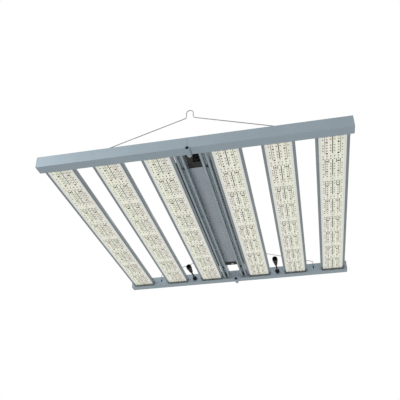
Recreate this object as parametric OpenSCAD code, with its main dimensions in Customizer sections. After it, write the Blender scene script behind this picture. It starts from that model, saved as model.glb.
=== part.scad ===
// Folding six-bar LED grow light: two hinged half frames, a long driver and two wire hangers.

/* [Frame] */
// Width of the open light across both halves
frame_w = 1060; // [1050:5:1100]
// Depth of the light from its front face to its rear face
frame_d = 1105; // [1000:5:1200]
// Depth of a cross beam's section
beam_d = 38; // [36:1:44]
// Height of a cross beam's section
beam_h = 42; // [42:1:50]
// Wall of the cross beams
beam_wall = 2; // [1.5:0.5:2.5]
// Gap between the two halves at the seam
seam = 0.5; // [0.4:0.1:1]

/* [Light bars] */
// Distance from the middle of the light to the first bar
first_bar_x = 116.5; // [113:0.5:118]
// Distance from one bar to the next
bar_pitch = 173.5; // [168:0.5:174]
// Overall width of a bar
bar_w = 110; // [104:1:112]
// Width of the LED boards
board_w = 90; // [80:1:92]
// Thickness of the LED boards
board_t = 1.6; // [1:0.2:2]
// Number of LED boards in a bar
boards_per_bar = 4; // [2:1:5]
// Height of the LED boards' faces above the beams' underside
led_face_z = 8.8; // [8:0.2:10]
// Number of cooling fins on a bar
fin_count = 11; // [5:2:15]
// Height of the cooling fins
fin_h = 11; // [6:1:14]

/* [Centre rails] */
// Distance from the middle of the light to a rail's centre line
rail_x = 41.75; // [40:0.25:43]
// Width of a rail
rail_w = 27.5; // [26:0.5:29]
// Height of a rail
rail_h = 28.5; // [27:0.5:30]
// Height of the rails' lips above the beams' underside
rail_z = 6.5; // [5:0.5:8]
// Width of the groove in a rail's underside
groove_w = 12; // [11:0.5:12.5]
// Depth of the groove in a rail's underside
groove_h = 15.5; // [14:0.5:16]

/* [Driver] */
// Distance from the light's front face to the driver
driver_y = 134; // [125:1:180]
// Length of the driver with both caps
driver_l = 850; // [600:10:860]
// Width of the driver
driver_w = 140; // [130:2:142]
// Height of the driver
driver_h = 48; // [44:1:50]
// Length of the front cap
front_cap_l = 30; // [26:1:40]
// Length of the rear cap
rear_cap_l = 36; // [26:1:40]

/* [Hinges] */
// Radius of the hinge barrels
knuckle_r = 8.5; // [7.5:0.5:9]
// Radius of the hinge bolts
hinge_bolt_r = 3; // [2.5:0.5:3.5]
// Length of the domed nut behind each hinge
cap_nut_l = 10; // [9:1:14]

/* [Hangers] */
// Diameter of the hanger wire
wire_d = 3; // [2.5:0.5:4]
// Distance from the middle of the light to a hanger's foot
hanger_x = 375; // [365:1:385]
// Height of the middles of the hangers' slots
slot_z = 22.8; // [22:0.1:24]
// Height at which the front wire turns inwards
front_elbow_z = 44.5; // [43:0.5:50]
// Height at which the rear wire turns inwards
rear_elbow_z = 52; // [48:0.5:54]
// Height of the eye's neck
neck_z = 159; // [150:1:170]
// Height of the top of the eye
eye_top_z = 194; // [192:1:200]
// Width of the eye over the wire
eye_w = 27; // [24:1:30]

/* [Lead connectors] */
// Distance from the middle of the light to a connector lead
lead_x = 203.5; // [203:0.5:204]
// Height of the connector leads above the beams' underside
lead_z = 17; // [16:0.5:18]
// Diameter of the lead's cable
lead_d = 8; // [7:0.5:9]

/* [Hidden] */
$fn = 48;

// Colours
frame_grey = [0.60, 0.66, 0.70];
fin_grey = [0.52, 0.55, 0.57];
board_white = [0.90, 0.90, 0.84];
dark_plastic = [0.16, 0.16, 0.15];
bracket_grey = [0.33, 0.36, 0.36];
dark_steel = [0.14, 0.15, 0.16];
bright_steel = [0.74, 0.74, 0.73];
driver_grey = [0.54, 0.56, 0.59];

// Hinge
hinge_drop = 0.5;
hinge_gap = 0.5;
hinge_bore_r = hinge_bolt_r + 0.05;
knuckle_l = beam_d / 3;
knuckle_gap = 0.2;
hinge_block_l = 30;
block_gap = 0.1;
bolt_head_r = 4.4;
bolt_head_h = 4.5;

// Beams
inner_y = beam_d;
end_cap_t = 2;
end_cap_plug = 10;
plug_gap = 0.2;
hole_gap = 0.2;

// Light bars
bar_xs = [for (i = [0:2]) first_bar_x + i * bar_pitch];
bracket_t = 1.5;
bar_y = inner_y + bracket_t;
bar_l = frame_d - 2 * bar_y;
base_z = led_face_z + board_t;
base_t = 3;
base_w = bar_w - 6;
flange_w = (bar_w - board_w) / 2 - 0.5;
flange_h = 8.6;
fin_t = 1.4;
fin_span = 80;
fin_margin = 40;
board_gap = 0.2;
// The first and last boards are shorter by this much than the others
board_trim = 6.3;
board_pitch = (bar_l + 2 * board_trim) / boards_per_bar;
boards_y = bar_y - board_trim;

// Bar brackets and their screws
bracket_w = 98;
bracket_low_z = 1;
bracket_top_z = 20;
tab_w = 60;
tab_l = 28;
tab_t = 2;
tab_screw_x = 18;
tab_screw_y = 18;
screw_r = 2;
screw_head_r = 3.5;
screw_head_h = 2.2;
bracket_screw_z = 4.6;
board_screw_r = 1.25;
board_screw_head_r = 3;
board_screw_head_h = 1.6;

// Rails
rail_top = rail_z + rail_h;
groove_top = rail_z + groove_h;
rail_wall = 2;
rib_w = 1.2;
rib_h = 4;
end_block_l = 10;
rail_bolt_r = 3;
rail_bolt_head_r = 4.6;
rail_bolt_head_h = 4.5;
rail_bolt_z = rail_z + 6;

// Driver
driver_z = rail_top;
driver_wall = 3;
driver_fin_h = 4;
driver_fin_count = 13;
driver_end = driver_y + driver_l;
housing_y = driver_y + front_cap_l;
housing_l = driver_l - front_cap_l - rear_cap_l;
port_r = 4.5;
port_inset = 6;
cap_screw_l = 16;
fixing_inset = 8;
fixing_head_r = 5;
fixing_head_h = 5;
fixing_boss_r = 6;
fixing_boss_h = 12;
fixing_ys = [driver_y + fixing_inset, driver_end - fixing_inset];
front_wall = 12;
rear_wall = 4;
bay_depth = 8;
bay_x = [-10, 37];
bay_z = [driver_z + 3, driver_z + 40];
inlet_x = 6;
inlet_z = driver_z + 21.5;
inlet_bore_r = 8.5;
inlet_bore_l = 14;
inlet_barrel_r = 10.3;
inlet_flange_r = 12.5;
port_w = 14;
port_h = 13;
port_l = 14;
port_cover_t = 1.5;
port_x = 28;
port_zs = [inlet_z - 8, inlet_z + 8];
board_z = driver_z + 11;
board_ledge = 4;

// Hangers
wire_r = wire_d / 2;
wire_y = inner_y + 2;
slot_w = 5;
slot_h = 14.2;
// Loaded, the hooks hang near the top of their slots.
foot_z = slot_z + 2.7;
hook_l = 6;
eye_r = (eye_w - wire_d) / 2;
eye_z = eye_top_z - wire_r - eye_r;
neck_x = 14.5;
eye_foot_z = neck_z + 7;

// Connector leads: stations along a lead, counted from the beam's inner face towards the front
gland_l = 18;
gland_hex_l = 6;
gland_thread_r = 6;
cable_l = 60;
boot_l = 24;
collar_s = 43.7;
ring_s = 44;
ring_lip_end = 46.7;
shoulder_s = 47;
face_s = 50;
ring_bore_s = 50.3;
connector_l = 68;
ring_r = 12;
ring_bore_r = 9.6;
flute_count = 12;
// The cable's route from the gland to the connector: distance forward and height
cable_route = [[0, 0], [15, 0], [30, 0], [45, 0], [cable_l, 0]];
cable_sides = 12;

// Wiring in the rear beam
harness_r = 3;
harness_back = 19;
drop_r = 2;
drop_x = 36;
drop_out = 12;
drop_z = 30;

// The drawing datum is the lower front edge of the frame, halfway across.
module at_datum() {
    translate([0, -(frame_d + cap_nut_l) / 2, knuckle_r + hinge_drop]) children();
}

module on_side(side) {
    if (side < 0) mirror([1, 0, 0]) children();
    else children();
}

// Draws its children at the front, or turned about to the rear.
module at_end(rear) {
    if (rear) translate([0, frame_d, 0]) mirror([0, 1, 0]) children();
    else children();
}

module both_ends() {
    at_end(false) children();
    at_end(true) children();
}

module slab(x0, x1, y0, y1, z0, z1) {
    translate([x0, y0, z0]) cube([x1 - x0, y1 - y0, z1 - z0]);
}

module y_rod(r, x, y, z, l) {
    translate([x, y, z]) rotate([-90, 0, 0]) cylinder(r = r, h = l);
}

module z_rod(r, x, y, z, l) {
    translate([x, y, z]) cylinder(r = r, h = l);
}

// Extrudes a profile drawn in X and Z along Y.
module along_y(y, l) {
    translate([0, y + l, 0]) rotate([90, 0, 0]) linear_extrude(l) children();
}

module wall_hole(r, x, z) {
    y_rod(r, x, inner_y - beam_wall - 1, z, beam_wall + 2);
}

// ---- Cross beams ----

module hanger_slot() {
    half = slot_h / 2 - slot_w / 2;
    slab(hanger_x - slot_w / 2, hanger_x + slot_w / 2,
        inner_y - beam_wall - 1, inner_y + 1, slot_z - half, slot_z + half);
    for (z = [slot_z - half, slot_z + half]) wall_hole(slot_w / 2, hanger_x, z);
}

module beam_half(side, rear) {
    color(frame_grey) at_datum() on_side(side) at_end(rear) difference() {
        slab(seam / 2, frame_w / 2 - end_cap_t, 0, beam_d, 0, beam_h);
        slab(-1, frame_w / 2, beam_wall, beam_d - beam_wall, beam_wall, beam_h - beam_wall);
        y_rod(knuckle_r + hinge_gap, 0, -1, -hinge_drop, beam_d + 2);
        hanger_slot();
        for (x = bar_xs) wall_hole(screw_r + hole_gap, x, bracket_screw_z);
        wall_hole(rail_bolt_r + hole_gap, rail_x, rail_bolt_z);
        if (rear) {
            wall_hole(gland_thread_r + hole_gap, lead_x, lead_z);
            for (x = bar_xs) wall_hole(drop_r + 1, x + drop_x, drop_z);
        }
    }
}

module front_beam_left() { beam_half(-1, false); }
module front_beam_right() { beam_half(1, false); }
module rear_beam_left() { beam_half(-1, true); }
module rear_beam_right() { beam_half(1, true); }

module beam_end_caps(side) {
    inset = beam_wall + plug_gap;
    end_x = frame_w / 2 - end_cap_t;
    color(frame_grey) at_datum() on_side(side) both_ends() difference() {
        union() {
            slab(end_x, frame_w / 2, 0, beam_d, 0, beam_h);
            slab(end_x - end_cap_plug, end_x, inset, beam_d - inset, inset, beam_h - inset);
        }
        slab(end_x - end_cap_plug - 1, end_x, inset + 2, beam_d - inset - 2, inset + 2, beam_h - inset - 2);
    }
}

module beam_end_caps_left() { beam_end_caps(-1); }
module beam_end_caps_right() { beam_end_caps(1); }

// ---- Hinges ----

module hinge_body() {
    inset = beam_wall + block_gap;
    slab(seam / 2, hinge_block_l, inset, beam_d - inset, inset, beam_h - inset);
}

module knuckle(first, last) {
    y_rod(knuckle_r, 0, first, -hinge_drop, last - first);
}

module knuckle_room(first, last) {
    y_rod(knuckle_r + hinge_gap, 0, first, -hinge_drop, last - first);
}

module at_hinges() {
    for (y = [0, frame_d - beam_d]) translate([0, y, 0]) children();
}

// The left blocks carry the outer two knuckles of each hinge.
module hinge_blocks_left() {
    middle = [knuckle_l - knuckle_gap / 2, 2 * knuckle_l + knuckle_gap / 2];
    color(frame_grey) at_datum() at_hinges() difference() {
        union() {
            difference() {
                mirror([1, 0, 0]) hinge_body();
                knuckle_room(middle[0], middle[1]);
            }
            knuckle(0, middle[0]);
            knuckle(middle[1], beam_d);
        }
        y_rod(hinge_bore_r, 0, -1, -hinge_drop, beam_d + 2);
        y_rod(bolt_head_r + hole_gap, 0, -1, -hinge_drop, bolt_head_h + 1.5);
    }
}

// The right blocks carry the middle knuckle.
module hinge_blocks_right() {
    first = knuckle_l + knuckle_gap / 2;
    last = 2 * knuckle_l - knuckle_gap / 2;
    color(frame_grey) at_datum() at_hinges() difference() {
        union() {
            difference() {
                hinge_body();
                knuckle_room(-1, beam_d + 1);
            }
            knuckle(first, last);
            intersection() {
                hinge_body();
                slab(0, knuckle_r + 2, first, last, 0, knuckle_r + 2);
            }
        }
        y_rod(hinge_bore_r, 0, -1, -hinge_drop, beam_d + 2);
    }
}

module hinge_bolts() {
    socket_r = 2.4;
    head_y = 0.5;
    color(dark_steel) at_datum() at_hinges() difference() {
        union() {
            y_rod(bolt_head_r, 0, head_y, -hinge_drop, bolt_head_h);
            y_rod(hinge_bolt_r, 0, head_y, -hinge_drop, beam_d + cap_nut_l - head_y - 3);
        }
        translate([0, head_y - 1, -hinge_drop]) rotate([-90, 0, 0]) cylinder(r = socket_r, h = 3.5, $fn = 6);
    }
}

// The dome is a turned quarter arc on a short collar.
module hinge_cap_nuts() {
    nut_r = knuckle_r - 0.3;
    collar = 2;
    dome = cap_nut_l - collar;
    outline = concat([[0, 0], [nut_r, 0]],
        [for (a = [0:10:90]) [nut_r * cos(a), collar + dome * sin(a)]]);
    color(bright_steel) at_datum() at_hinges() translate([0, beam_d, -hinge_drop]) rotate([-90, 0, 0])
        difference() {
            rotate_extrude() polygon(outline);
            translate([0, 0, -1]) cylinder(r = hinge_bore_r, h = cap_nut_l - 1.5);
        }
}

// ---- Light bars ----

module bar_base_profile() {
    translate([-base_w / 2, base_z]) square([base_w, base_t]);
    for (side = [-1, 1])
        translate([side * (bar_w - flange_w) / 2 - flange_w / 2, base_z]) square([flange_w, flange_h]);
}

module fin_profile() {
    step = fin_span / (fin_count - 1);
    for (i = [0:fin_count - 1])
        translate([-fin_span / 2 + i * step - fin_t / 2, base_z + base_t - 0.5]) square([fin_t, fin_h + 0.5]);
}

// Number 1 is the far left bar and number 6 the far right one.
function bar_side(number) = number <= 3 ? -1 : 1;
function bar_x(number) = number <= 3 ? bar_xs[3 - number] : bar_xs[number - 4];

module tab_screw_places() {
    for (x = [-tab_screw_x, tab_screw_x]) translate([x, inner_y + tab_screw_y, 0]) children();
}

module board_screw_places() {
    for (i = [1:boards_per_bar - 1]) translate([0, boards_y + i * board_pitch, 0]) children();
}

module bar_heatsink(number) {
    color(fin_grey) at_datum() translate([bar_side(number) * bar_x(number), 0, 0]) difference() {
        union() {
            along_y(bar_y, bar_l) bar_base_profile();
            along_y(bar_y + fin_margin, bar_l - 2 * fin_margin) fin_profile();
        }
        both_ends() tab_screw_places() z_rod(screw_r + 0.1, 0, 0, base_z - 1, base_t + 2);
        board_screw_places() z_rod(board_screw_r + 0.1, 0, 0, base_z - 1, base_t);
    }
}

module bar_heatsink_1() { bar_heatsink(1); }
module bar_heatsink_2() { bar_heatsink(2); }
module bar_heatsink_3() { bar_heatsink(3); }
module bar_heatsink_4() { bar_heatsink(4); }
module bar_heatsink_5() { bar_heatsink(5); }
module bar_heatsink_6() { bar_heatsink(6); }

module led_boards(number) {
    color(board_white) at_datum() translate([bar_side(number) * bar_x(number), 0, 0]) difference() {
        for (i = [0:boards_per_bar - 1]) {
            start = max(bar_y, boards_y + i * board_pitch) + board_gap / 2;
            end = min(bar_y + bar_l, boards_y + (i + 1) * board_pitch) - board_gap / 2;
            slab(-board_w / 2, board_w / 2, start, end, led_face_z, base_z);
        }
        board_screw_places() z_rod(board_screw_r + 0.3, 0, 0, led_face_z - 1, board_t + 2);
    }
}

module led_boards_1() { led_boards(1); }
module led_boards_2() { led_boards(2); }
module led_boards_3() { led_boards(3); }
module led_boards_4() { led_boards(4); }
module led_boards_5() { led_boards(5); }
module led_boards_6() { led_boards(6); }

module bar_brackets(side) {
    color(bracket_grey) at_datum() on_side(side) both_ends() for (x = bar_xs)
    translate([x, 0, 0]) difference() {
        union() {
            slab(-bracket_w / 2, bracket_w / 2, inner_y, bar_y, bracket_low_z, bracket_top_z);
            slab(-tab_w / 2, tab_w / 2, inner_y, inner_y + tab_l, base_z + base_t, base_z + base_t + tab_t);
        }
        y_rod(screw_r + hole_gap, 0, inner_y - 1, bracket_screw_z, bracket_t + 2);
        tab_screw_places() z_rod(screw_r + hole_gap, 0, 0, base_z, base_t + tab_t + 2);
    }
}

module bar_brackets_left() { bar_brackets(-1); }
module bar_brackets_right() { bar_brackets(1); }

module bracket_screws(side) {
    tab_top = base_z + base_t + tab_t;
    color(dark_steel) at_datum() on_side(side) both_ends() for (x = bar_xs) translate([x, 0, 0]) {
        y_rod(screw_head_r, 0, bar_y, bracket_screw_z, screw_head_h);
        y_rod(screw_r, 0, inner_y - 6, bracket_screw_z, bracket_t + 6);
        tab_screw_places() {
            z_rod(screw_head_r, 0, 0, tab_top, screw_head_h);
            z_rod(screw_r, 0, 0, base_z + 0.2, base_t + tab_t - 0.2);
        }
    }
}

module bracket_screws_left() { bracket_screws(-1); }
module bracket_screws_right() { bracket_screws(1); }

module board_screws(side) {
    color(dark_steel) at_datum() on_side(side) for (x = bar_xs) translate([x, 0, 0]) board_screw_places() {
        z_rod(board_screw_head_r, 0, 0, led_face_z - board_screw_head_h, board_screw_head_h);
        z_rod(board_screw_r, 0, 0, led_face_z, board_t + base_t - 1.2);
    }
}

module board_screws_left() { board_screws(-1); }
module board_screws_right() { board_screws(1); }

// ---- Centre rails ----

module rail_profile() {
    cheek = (rail_w - groove_w) / 2;
    cell_w = cheek - 2 * rail_wall;
    difference() {
        translate([-rail_w / 2, rail_z]) square([rail_w, rail_h]);
        difference() {
            translate([-groove_w / 2, rail_z - 1]) square([groove_w, groove_h + 1]);
            translate([-rib_w / 2, groove_top - rib_h]) square([rib_w, rib_h + 1]);
        }
        for (side = [-1, 1])
            translate([side * (groove_w + cheek) / 2 - cell_w / 2, rail_z + rail_wall])
                square([cell_w, groove_h - 2 * rail_wall]);
        translate([-rail_w / 2 + rail_wall, groove_top + rail_wall])
            square([rail_w - 2 * rail_wall, rail_h - groove_h - 2 * rail_wall]);
    }
}

module rail(side) {
    color(frame_grey) at_datum() on_side(side) translate([rail_x, 0, 0]) difference() {
        along_y(inner_y, frame_d - 2 * inner_y) rail_profile();
        for (y = fixing_ys) {
            z_rod(fixing_head_r + 0.6, 0, y, groove_top - rib_h - 1, rib_h + 1);
            z_rod(rail_bolt_r + hole_gap, 0, y, groove_top - 1, rail_h);
        }
    }
}

module rail_left() { rail(-1); }
module rail_right() { rail(1); }

module rail_end_blocks(side) {
    color(dark_steel) at_datum() on_side(side) both_ends() difference() {
        slab(rail_x - groove_w / 2, rail_x + groove_w / 2, inner_y, inner_y + end_block_l,
            rail_z + 0.5, groove_top - rib_h - 0.2);
        y_rod(rail_bolt_r + hole_gap, rail_x, inner_y - 1, rail_bolt_z, end_block_l + 2);
    }
}

module rail_end_blocks_left() { rail_end_blocks(-1); }
module rail_end_blocks_right() { rail_end_blocks(1); }

module rail_end_bolts(side) {
    head_y = inner_y + end_block_l;
    color(dark_steel) at_datum() on_side(side) both_ends() difference() {
        union() {
            y_rod(rail_bolt_head_r, rail_x, head_y, rail_bolt_z, rail_bolt_head_h);
            y_rod(rail_bolt_r, rail_x, inner_y - 7, rail_bolt_z, end_block_l + 8);
        }
        translate([rail_x, head_y + 2, rail_bolt_z]) rotate([-90, 0, 0]) cylinder(r = 2.6, h = 3, $fn = 6);
    }
}

module rail_end_bolts_left() { rail_end_bolts(-1); }
module rail_end_bolts_right() { rail_end_bolts(1); }

// ---- Driver ----

module driver_outline() {
    c = 2;
    half = driver_w / 2;
    top = driver_z + driver_h - driver_fin_h;
    polygon([
        [-half + c, driver_z], [half - c, driver_z], [half, driver_z + c], [half, top - c],
        [half - c, top], [-half + c, top], [-half, top - c], [-half, driver_z + c]
    ]);
}

module driver_cap_outline() {
    c = 3;
    half = driver_w / 2;
    top = driver_z + driver_h;
    polygon([
        [-half + c, driver_z], [half - c, driver_z], [half, driver_z + c], [half, top - c],
        [half - c, top], [-half + c, top], [-half, top - c], [-half, driver_z + c]
    ]);
}

module driver_cavity() {
    translate([-driver_w / 2 + driver_wall, driver_z + driver_wall])
        square([driver_w - 2 * driver_wall, driver_h - driver_fin_h - 2 * driver_wall]);
}

module port_places() {
    low = driver_z + port_inset;
    high = driver_z + driver_h - driver_fin_h - port_inset;
    for (x = [-driver_w / 2 + port_inset, driver_w / 2 - port_inset], z = [low, high])
        translate([x, z]) children();
}

module driver_housing_profile() {
    difference() {
        union() {
            difference() {
                driver_outline();
                driver_cavity();
            }
            port_places() circle(r = port_r);
            // Ledges that the circuit boards rest on
            for (side = [-1, 1])
                translate([
                    side * (driver_w / 2 - driver_wall - board_ledge / 2) - board_ledge / 2,
                    board_z - 2])
                    square([board_ledge, 2]);
        }
        port_places() circle(r = screw_r + 0.1);
    }
    step = (driver_w - 8) / (driver_fin_count - 1);
    for (i = [0:driver_fin_count - 1])
        translate([-driver_w / 2 + 3 + i * step, driver_z + driver_h - driver_fin_h - 0.5])
            square([2, driver_fin_h + 0.5]);
}

module driver_housing() {
    color(driver_grey) at_datum() along_y(housing_y, housing_l) driver_housing_profile();
}

module fixing_bosses(y) {
    for (x = [-rail_x, rail_x]) z_rod(fixing_boss_r, x, y, driver_z + 1, fixing_boss_h - 1);
}

module fixing_holes(y) {
    for (x = [-rail_x, rail_x]) z_rod(rail_bolt_r + hole_gap, x, y, driver_z - 1, fixing_boss_h);
}

module driver_front_cap() {
    color(dark_plastic) at_datum() difference() {
        union() {
            difference() {
                along_y(driver_y, front_cap_l) driver_cap_outline();
                along_y(driver_y + front_wall, front_cap_l) driver_cavity();
            }
            along_y(driver_y + front_wall - 1, front_cap_l - front_wall + 1) port_places() circle(r = port_r);
        }
        along_y(driver_y - 1, front_cap_l + 2) port_places() circle(r = screw_r + hole_gap);
        slab(bay_x[0], bay_x[1], driver_y - 1, driver_y + bay_depth, bay_z[0], bay_z[1]);
        y_rod(inlet_barrel_r + hole_gap, inlet_x, driver_y, inlet_z, front_wall + 1);
        for (z = port_zs)
            slab(port_x - port_w / 2 - 0.2, port_x + port_w / 2 + 0.2, driver_y, driver_y + front_wall + 1,
                z - port_h / 2 - 0.2, z + port_h / 2 + 0.2);
        fixing_holes(fixing_ys[0]);
    }
}

module driver_rear_cap() {
    start = driver_end - rear_cap_l;
    color(dark_plastic) at_datum() difference() {
        union() {
            difference() {
                along_y(start, rear_cap_l) driver_cap_outline();
                along_y(start - 1, rear_cap_l - rear_wall + 1) driver_cavity();
            }
            along_y(start, rear_cap_l - rear_wall + 1) port_places() circle(r = port_r);
            fixing_bosses(fixing_ys[1]);
        }
        along_y(start - 1, rear_cap_l + 2) port_places() circle(r = screw_r + hole_gap);
        fixing_holes(fixing_ys[1]);
        z_rod(1.7, 0, driver_end - 11, driver_z - 1, driver_wall + 2);
    }
}

// A screw whose head bears on the plane at y.
module cap_screw(y, l) {
    y_rod(screw_head_r, 0, y - screw_head_h, 0, screw_head_h);
    y_rod(screw_r, 0, y, 0, l);
}

module driver_cap_screws() {
    low = driver_z + port_inset;
    high = driver_z + driver_h - driver_fin_h - port_inset;
    color(dark_steel) at_datum()
        for (x = [-driver_w / 2 + port_inset, driver_w / 2 - port_inset], z = [low, high])
        translate([x, 0, z]) {
            cap_screw(driver_y, front_cap_l + cap_screw_l);
            translate([0, driver_end, 0]) mirror([0, 1, 0]) cap_screw(0, rear_cap_l + cap_screw_l);
        }
}

// The left bolts clamp the driver; the right ones only reach the top of their rail.
module driver_fixing_bolts(side, reach) {
    color(dark_steel) at_datum() for (y = fixing_ys) difference() {
        union() {
            z_rod(fixing_head_r, side * rail_x, y, groove_top - fixing_head_h, fixing_head_h);
            z_rod(rail_bolt_r, side * rail_x, y, groove_top - 1, reach + 1);
        }
        z_rod(2.9, side * rail_x, y, groove_top - fixing_head_h - 1, 3.5, $fn = 6);
    }
}

module driver_fixing_bolts_left() { driver_fixing_bolts(-1, rail_top - groove_top + fixing_boss_h - 2); }
module driver_fixing_bolts_right() { driver_fixing_bolts(1, rail_top - groove_top - 0.3); }

module driver_earth_screw() {
    color(bright_steel) at_datum() {
        z_rod(2.8, 0, driver_end - 11, driver_z - 1.8, 1.8);
        z_rod(1.5, 0, driver_end - 11, driver_z, 5);
    }
}

module driver_boards() {
    width = driver_w - 2 * driver_wall - 2;
    length = (housing_l - 30) / 2;
    color("darkgreen") at_datum() for (y = [housing_y + 10, housing_y + 20 + length])
        slab(-width / 2, width / 2, y, y + length, board_z, board_z + 1.6);
}

module driver_transformers() {
    color("goldenrod") at_datum() for (y = [0.28, 0.72])
    translate([20, housing_y + housing_l * y, board_z + 1.6]) {
        slab(-22, 22, -26, 26, 0, 6);
        slab(-16, 16, -20, 20, 6, 26);
    }
}

module driver_capacitors() {
    color("midnightblue") at_datum() for (y = [0.12, 0.2, 0.62], x = [-40, -12])
        z_rod(11, x, housing_y + housing_l * y, board_z + 1.6, 25);
}

module driver_chokes() {
    color("olive") at_datum() for (y = [0.4, 0.86]) translate([-30, housing_y + housing_l * y, board_z + 1.6])
        difference() {
            cylinder(r = 17, h = 14);
            translate([0, 0, 2]) cylinder(r = 7, h = 13);
        }
}

module mains_inlet() {
    floor_y = driver_y + bay_depth;
    mouth_y = driver_y + 2;
    color(dark_plastic) at_datum() difference() {
        union() {
            y_rod(inlet_barrel_r, inlet_x, mouth_y, inlet_z, 22);
            y_rod(inlet_flange_r, inlet_x, floor_y - 2, inlet_z, 2);
        }
        y_rod(inlet_bore_r, inlet_x, mouth_y - 1, inlet_z, inlet_bore_l + 1);
    }
}

// Each port is shut by a rubber cover.
module dimmer_ports() {
    front = driver_y + bay_depth - 2;
    cover_w = port_w - 3;
    cover_h = port_h - 3;
    color(dark_plastic) at_datum() for (z = port_zs) {
        slab(port_x - port_w / 2, port_x + port_w / 2, front, front + port_l, z - port_h / 2, z + port_h / 2);
        slab(port_x - cover_w / 2, port_x + cover_w / 2,
            front - port_cover_t, front, z - cover_h / 2, z + cover_h / 2);
    }
}

// ---- Hangers ----

// A straight run of wire between two points in the hanger's plane.
module wire_run(from, to) {
    dx = to[0] - from[0];
    dz = to[1] - from[1];
    translate([from[0], 0, from[1]])
        rotate([0, atan2(dx, dz), 0]) cylinder(r = wire_r, h = norm([dx, dz]));
}

// The ball that rounds a bend is a hair thicker than the wire.
module wire_bend(at) {
    translate([at[0], 0, at[1]]) sphere(r = wire_r + 0.05);
}

module half_wire(elbow_z) {
    foot = [hanger_x, foot_z];
    elbow = [hanger_x, elbow_z];
    neck = [neck_x, neck_z];
    shoulder = [eye_r, eye_foot_z];
    wire_run(foot, elbow);
    wire_run(elbow, neck);
    wire_run(neck, shoulder);
    wire_run(shoulder, [eye_r, eye_z]);
    for (bend = [foot, elbow, neck, shoulder]) wire_bend(bend);
}

module hanger(elbow_z) {
    translate([0, wire_y, 0]) {
        half_wire(elbow_z);
        mirror([1, 0, 0]) half_wire(elbow_z);
        translate([0, 0, eye_z]) rotate([90, 0, 0])
            rotate_extrude(angle = 180) translate([eye_r, 0]) circle(r = wire_r);
    }
    // The left foot hooks through its slot; the right foot stops in front of it.
    y_rod(wire_r, -hanger_x, wire_y - hook_l, foot_z, hook_l);
}

module front_hanger() { color(bright_steel) at_datum() hanger(front_elbow_z); }
module rear_hanger() { color(bright_steel) at_datum() at_end(true) hanger(rear_elbow_z); }

// ---- Connector leads ----

// Turns a profile drawn as [radius, station] about a lead, with stations running towards the front.
module on_lead(side) {
    at_datum() translate([side * lead_x, frame_d - beam_d, lead_z]) rotate([90, 0, 0]) children();
}

module lead_gland(side) {
    color(dark_plastic) on_lead(side) {
        cylinder(r = 10.5, h = gland_hex_l, $fn = 6);
        translate([0, 0, -9]) cylinder(r = gland_thread_r, h = 10);
        rotate_extrude() polygon([
            [0, gland_hex_l - 1], [9.2, gland_hex_l - 1], [9.2, gland_l - 5],
            [8.4, gland_l - 2], [6, gland_l], [0, gland_l]
        ]);
        translate([0, 0, -beam_wall - 3.5]) difference() {
            cylinder(r = 10, h = 3.5, $fn = 6);
            translate([0, 0, -1]) cylinder(r = gland_thread_r + 0.05, h = 6);
        }
    }
}

module lead_gland_left() { lead_gland(-1); }
module lead_gland_right() { lead_gland(1); }

function cable_ring(point) = [
    for (k = [0:cable_sides - 1])
        [lead_d / 2 * cos(360 * k / cable_sides),
            point[1] + lead_d / 2 * sin(360 * k / cable_sides), point[0]]
];

module lead_cable(side) {
    n = cable_sides;
    last = len(cable_route) - 1;
    points = [for (p = cable_route) each cable_ring(p)];
    walls = [
        for (i = [0:last - 1], k = [0:n - 1])
            [i * n + k, (i + 1) * n + k, (i + 1) * n + (k + 1) % n, i * n + (k + 1) % n]
    ];
    ends = [[for (k = [0:n - 1]) k], [for (k = [n - 1:-1:0]) last * n + k]];
    color([0.1, 0.1, 0.1]) on_lead(side) translate([0, 0, gland_l])
        polyhedron(points = points, faces = concat(walls, ends));
}

module lead_cable_left() { lead_cable(-1); }
module lead_cable_right() { lead_cable(1); }

module lead_connector(side) {
    color(dark_plastic) on_lead(side) translate([0, 0, gland_l + cable_l]) difference() {
        rotate_extrude() polygon([
            [0, 0], [5.4, 0], [8.4, boot_l], [9.2, boot_l], [9.2, collar_s - 4], [10.2, collar_s - 3],
            [10.2, collar_s], [7.5, collar_s], [7.5, shoulder_s], [9, shoulder_s], [9, face_s], [0, face_s]
        ]);
        for (a = [90:120:330]) rotate([0, 0, a]) translate([4, 0, face_s - 6]) cylinder(r = 1.2, h = 7);
    }
}

module lead_connector_left() { lead_connector(-1); }
module lead_connector_right() { lead_connector(1); }

module coupling_ring(side) {
    color(dark_plastic) on_lead(side) translate([0, 0, gland_l + cable_l]) difference() {
        rotate_extrude() polygon([
            [7.9, ring_s], [10.6, ring_s], [ring_r, ring_s + 3], [ring_r, connector_l - 1],
            [ring_r - 1, connector_l], [ring_bore_r, connector_l], [ring_bore_r, ring_bore_s],
            [9.3, ring_bore_s], [9.3, ring_lip_end], [7.9, ring_lip_end]
        ]);
        for (i = [0:flute_count - 1]) rotate([0, 0, i * 360 / flute_count])
            translate([ring_r + 0.6, 0, ring_s + 5]) cylinder(r = 1.4, h = 16, $fn = 24);
    }
}

module coupling_ring_left() { coupling_ring(-1); }
module coupling_ring_right() { coupling_ring(1); }

// ---- Wiring in the rear beam ----

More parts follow.
